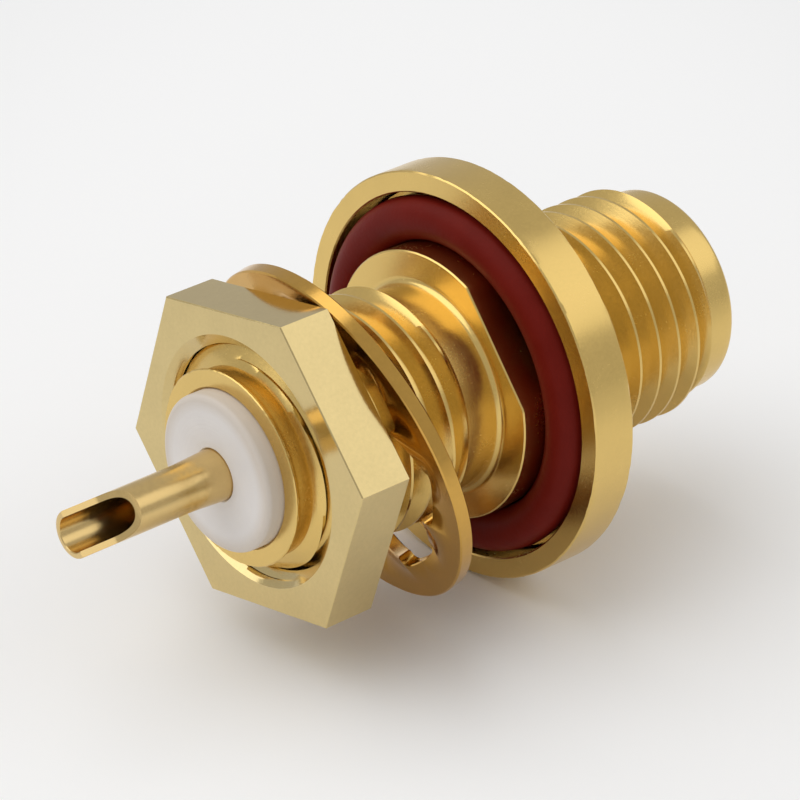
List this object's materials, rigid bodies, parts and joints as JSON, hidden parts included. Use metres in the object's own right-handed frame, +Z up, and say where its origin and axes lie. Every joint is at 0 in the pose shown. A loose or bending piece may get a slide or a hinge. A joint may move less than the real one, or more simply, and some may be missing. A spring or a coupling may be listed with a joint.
{
  "type": "coaxial bulkhead jack",
  "caption": "Threaded coaxial bulkhead jack with a sealed round flange, keyed collar, lock nut, toothed washer, white dielectric and a scooped solder cup.",
  "frame": {"origin": "on the connector's axis, in the plane of the flange's rear face that seats on the panel", "axes": "+X along the axis toward the mating end, +Z up as pictured, -X toward the solder cup"},
  "size_m": [0.0201, 0.0112, 0.0112],
  "materials": {
    "plated_body": "satin gold plate over turned brass",
    "plated_nut": "bright gold plate",
    "plated_washer": "bright gold plate",
    "plated_contact": "satin gold plate",
    "white_dielectric": "smooth matte white",
    "red_seal": "satin silicone rubber"
  },
  "bodies": {
    "connector": {"body": "plated_body", "o_ring": "red_seal", "insulator": "white_dielectric", "center_contact": "plated_contact"},
    "washer": {"lock_washer": "plated_washer"},
    "nut": {"hex_nut": "plated_nut"}
  },
  "joints": [
    {"name": "thread_travel", "type": "slide", "parent": "connector", "child": "washer", "axis": [1, 0, 0], "range_m": [-0.00212, 0.00159]},
    {"name": "nut_turn", "type": "hinge", "parent": "washer", "child": "nut", "pos_m": [-0.00613, 0, 0], "axis": [1, 0, 0], "range_deg": [-1080, 810]}
  ],
  "couplings": [
    {"joint": "nut_turn", "follows": "thread_travel", "rad_per_m": 8905.3}
  ]
}
